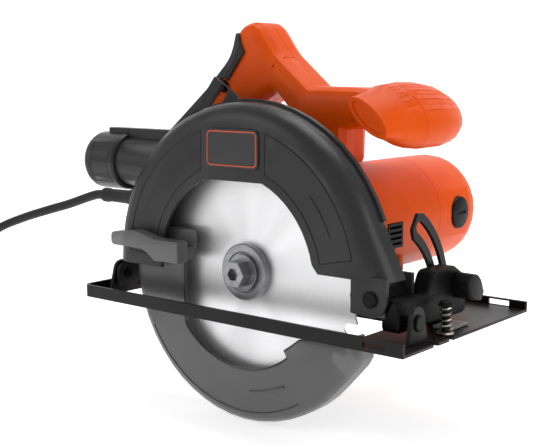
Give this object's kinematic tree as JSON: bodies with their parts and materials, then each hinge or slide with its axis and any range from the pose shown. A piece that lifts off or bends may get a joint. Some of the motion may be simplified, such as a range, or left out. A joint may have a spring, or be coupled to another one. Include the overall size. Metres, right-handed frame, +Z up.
{
  "type": "circular saw",
  "caption": "Corded hand-held circular saw with a tilting sole, sprung lower guard, depth quadrant, side motor and two-hand grip",
  "frame": {"origin": "On the sole's underside, below the blade spindle, at the middle of the sole's width", "axes": "+X forward, the way the saw cuts; +Y from the blade towards the motor; +Z up"},
  "size_m": [0.5659, 0.299, 0.278],
  "materials": {
    "steel_black_sheet": "satin black paint on pressed steel",
    "quadrant_steel": "dark grey painted steel",
    "cast_black": "black paint on a casting",
    "pin_black": "blackened steel",
    "black_plastic": "matt black moulding",
    "guard_grey": "fine-grained dark grey",
    "badge_grey": "plain dark plate with a pale border",
    "smoke_guard": "smoky translucent plastic",
    "orange_shell": "finely textured orange moulding",
    "rubber_black": "soft black rubber",
    "gear_alloy": "die-cast alloy",
    "bright_steel": "ground bright steel",
    "machined_steel": "turned steel",
    "zinc": "zinc-plated steel",
    "copper_wound": "varnished copper windings and laminations",
    "commutator_brass": "turned copper alloy",
    "carbon": "pressed carbon"
  },
  "bodies": {
    "sole": {"sole_plate": "steel_black_sheet", "bevel_quadrant": "steel_black_sheet", "fence_clamp_spring": "zinc", "fence_clamp_washer": "zinc", "fence_clamp_plate": "zinc", "rear_bevel_pin": "pin_black", "front_bevel_pin": "pin_black"},
    "fence_screw": {"fence_clamp_screw": "machined_steel"},
    "bevel_frame": {"front_bracket": "cast_black", "depth_quadrant": "quadrant_steel", "depth_pivot_pin": "pin_black"},
    "bevel_clamp": {"bevel_knob": "black_plastic"},
    "saw_body": {"upper_guard": "guard_grey", "dust_spout": "guard_grey", "guard_badge": "badge_grey", "gear_case": "gear_alloy", "motor_housing": "orange_shell", "vent_grille": "black_plastic", "motor_end_cap": "orange_shell", "brush_cap_front": "black_plastic", "brush_cap_rear": "black_plastic", "carbon_brush_front": "carbon", "carbon_brush_rear": "carbon", "stator": "machined_steel", "spindle_front_bearing": "machined_steel", "spindle_rear_bearing": "machined_steel", "armature_front_bearing": "machined_steel", "armature_rear_bearing": "machined_steel", "handle_shell_blade_side": "orange_shell", "handle_shell_motor_side": "orange_shell", "grip_overmould": "rubber_black", "switch_module": "black_plastic", "handle_screw_1": "machined_steel", "handle_screw_2": "machined_steel", "handle_screw_3": "machined_steel", "guard_return_spring": "zinc", "strain_relief": "rubber_black", "power_cord": "rubber_black", "cord_coil": "rubber_black", "plug_lead": "rubber_black", "mains_plug": "rubber_black", "plug_pin_left": "zinc", "plug_pin_right": "zinc"},
    "depth_clamp": {"depth_lever": "black_plastic"},
    "guard_lower": {"lower_guard": "smoke_guard"},
    "blade_shaft": {"spindle": "machined_steel", "output_gear": "machined_steel", "inner_flange": "machined_steel", "saw_blade": "bright_steel", "outer_flange": "machined_steel", "blade_bolt": "machined_steel"},
    "middle_shaft": {"intermediate_gears": "machined_steel"},
    "rotor": {"armature_shaft": "machined_steel", "armature": "copper_wound", "commutator": "commutator_brass", "cooling_fan": "black_plastic"},
    "switch_trigger": {"trigger": "black_plastic"},
    "safety_button": {"lock_off_button": "black_plastic"},
    "spindle_lock": {"spindle_lock_button": "black_plastic"}
  },
  "joints": [
    {"name": "bevel_tilt", "type": "hinge", "parent": "sole", "child": "bevel_frame", "pos_m": [0, -0.051, 0.015], "axis": [1, 0, 0], "range_deg": [0, 45]},
    {"name": "depth_adjust", "type": "hinge", "parent": "bevel_frame", "child": "saw_body", "pos_m": [0.113, -0.044, 0.027], "axis": [0, 1, 0], "range_deg": [0, 34]},
    {"name": "bevel_knob_turn", "type": "hinge", "parent": "bevel_frame", "child": "bevel_clamp", "pos_m": [0.1215, 0.01062, 0.0281], "axis": [1, 0, 0], "range_deg": [0, 90]},
    {"name": "depth_lever_turn", "type": "hinge", "parent": "saw_body", "child": "depth_clamp", "pos_m": [-0.08638, -0.0197, 0.04269], "axis": [0, 1, 0], "range_deg": [0, 50]},
    {"name": "lower_guard_swing", "type": "hinge", "parent": "saw_body", "child": "guard_lower", "pos_m": [0, -0.0335, 0.029], "axis": [0, 1, 0], "range_deg": [0, 110], "stiffness_Nm_per_rad": 0.12, "springref_deg": -57.3},
    {"name": "blade_spin", "type": "hinge", "parent": "saw_body", "child": "blade_shaft", "pos_m": [0, -0.0426, 0.029], "axis": [0, 1, 0], "continuous": true},
    {"name": "middle_shaft_spin", "type": "hinge", "parent": "saw_body", "child": "middle_shaft", "pos_m": [0.01351, -0.015, 0.05324], "axis": [0, 1, 0], "continuous": true},
    {"name": "rotor_spin", "type": "hinge", "parent": "saw_body", "child": "rotor", "pos_m": [0.04, 0.06, 0.0615], "axis": [0, 1, 0], "continuous": true},
    {"name": "trigger_pull", "type": "slide", "parent": "saw_body", "child": "switch_trigger", "axis": [-0.526, 0, 0.8505], "range_m": [0, 0.006], "stiffness_N_per_m": 350, "springref_m": -0.002},
    {"name": "safety_press", "type": "slide", "parent": "saw_body", "child": "safety_button", "axis": [0, 1, 0], "range_m": [0, 0.003], "stiffness_N_per_m": 300, "springref_m": -0.001},
    {"name": "spindle_lock_press", "type": "slide", "parent": "saw_body", "child": "spindle_lock", "axis": [1, 0, 0], "range_m": [0, 0.0035], "stiffness_N_per_m": 400, "springref_m": -0.001},
    {"name": "fence_screw_turn", "type": "hinge", "parent": "sole", "child": "fence_screw", "pos_m": [0.1425, -0.019, 0.02], "axis": [0, 0, 1], "range_deg": [0, 180]}
  ],
  "couplings": [
    {"joint": "middle_shaft_spin", "follows": "blade_spin", "ratio": -2.0833},
    {"joint": "rotor_spin", "follows": "blade_spin", "ratio": 5.625}
  ]
}
